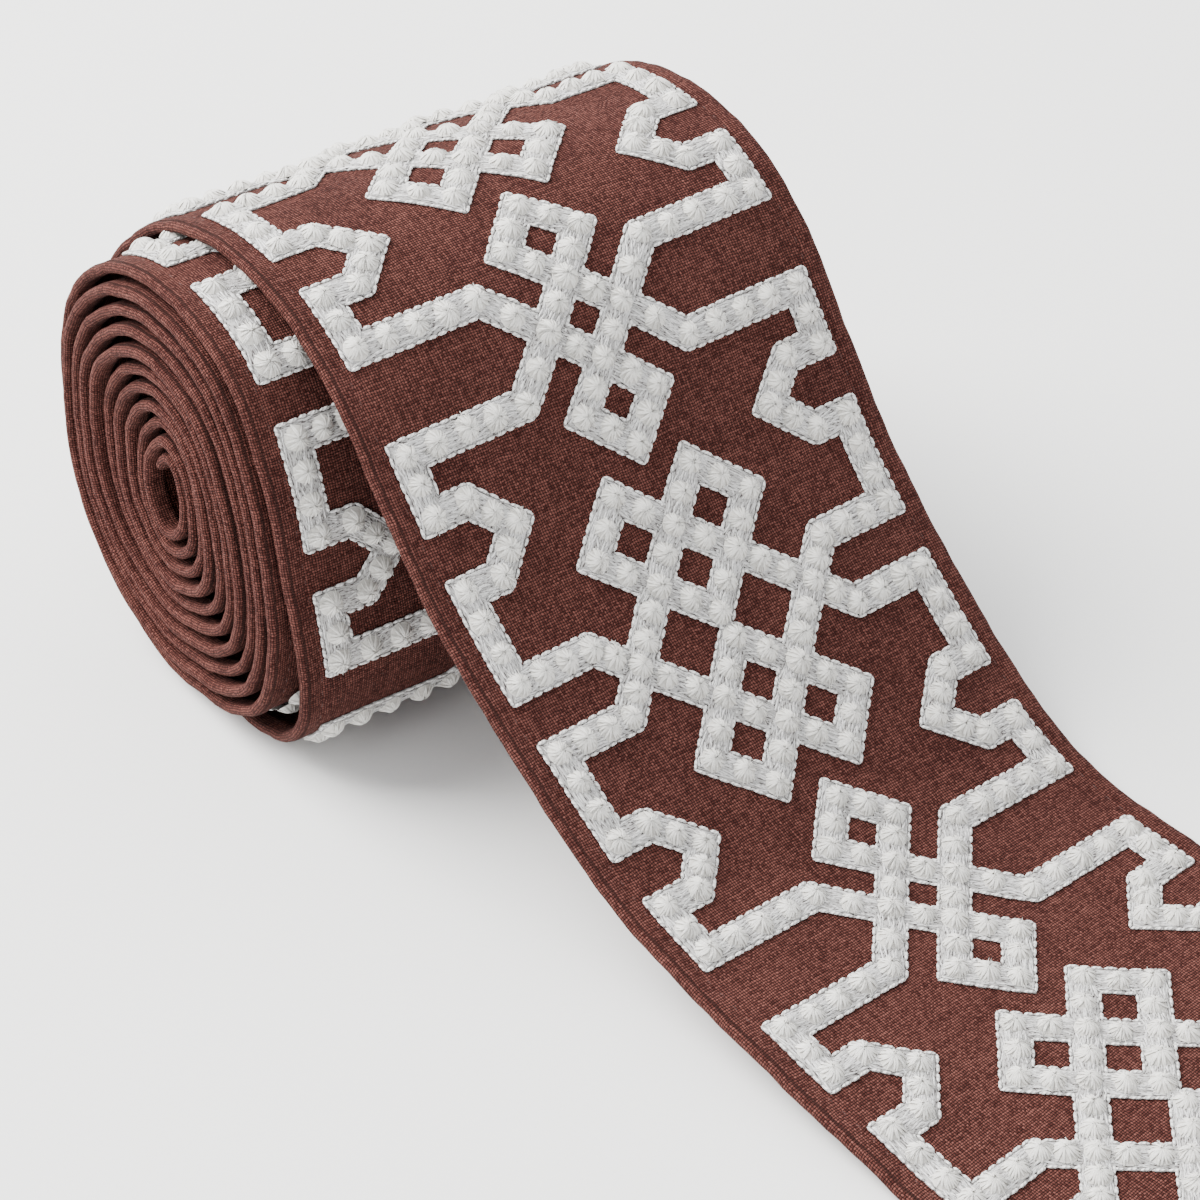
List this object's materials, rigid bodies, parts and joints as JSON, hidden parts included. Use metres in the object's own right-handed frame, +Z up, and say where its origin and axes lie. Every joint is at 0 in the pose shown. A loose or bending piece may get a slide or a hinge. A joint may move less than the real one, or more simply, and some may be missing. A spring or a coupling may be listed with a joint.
{
  "type": "knotted tape trim",
  "caption": "Wide embroidered tape wound in an uneven oval roll, its loose end running over the roll, down and flat along the table; interlaced knots between stepped borders.",
  "frame": {"origin": "middle of the whole part's footprint, on the surface that it rests on", "axes": "+X along the roll's axis towards its hidden end, +Y from the loose end towards the roll, +Z up"},
  "size_m": [0.1296, 0.2718, 0.0864],
  "materials": {
    "tape": "plain woven linen, matt",
    "thread": "silvery embroidery thread, slight sheen",
    "yarn": "soft off-white yarn, matt"
  },
  "bodies": {
    "root": {"wound_roll": "tape", "loose_end": "tape"}
  },
  "joints": []
}
